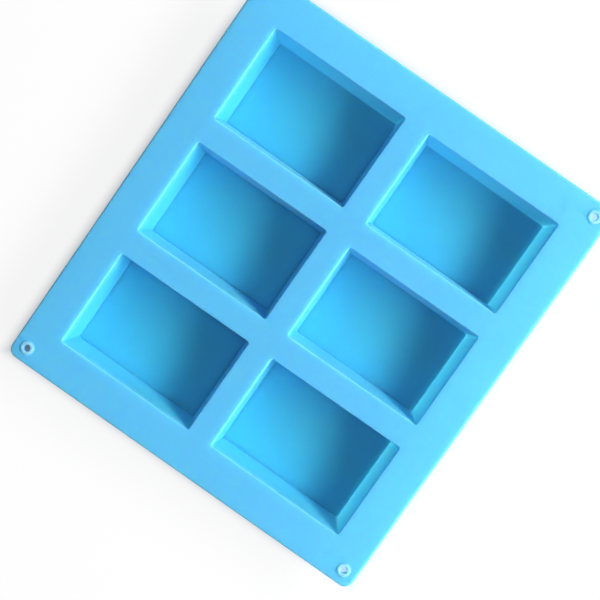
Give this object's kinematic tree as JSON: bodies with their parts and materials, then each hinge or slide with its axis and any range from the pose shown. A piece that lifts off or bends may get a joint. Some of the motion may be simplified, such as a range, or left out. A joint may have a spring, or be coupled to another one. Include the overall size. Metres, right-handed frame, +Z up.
{
  "type": "silicone soap mould",
  "caption": "Flexible silicone sheet with a grid of drafted rectangular soap cavities hanging below it and a raised ring round a small hanging hole at each corner.",
  "frame": {"origin": "on the surface that the cups stand on, under the middle of the sheet", "axes": "+X along the length of a cavity, +Y along its width, which is the longer way of the sheet, and +Z up out of the cavities"},
  "size_m": [0.2154, 0.237, 0.0278],
  "materials": {
    "blue_silicone": "satin"
  },
  "bodies": {
    "root": {"sheet": "blue_silicone", "cup_left_front": "blue_silicone", "cup_left_middle": "blue_silicone", "cup_left_back": "blue_silicone", "cup_right_front": "blue_silicone", "cup_right_middle": "blue_silicone", "cup_right_back": "blue_silicone", "eyelet_ring_left_front": "blue_silicone", "eyelet_ring_left_back": "blue_silicone", "eyelet_ring_right_front": "blue_silicone", "eyelet_ring_right_back": "blue_silicone"}
  },
  "joints": []
}
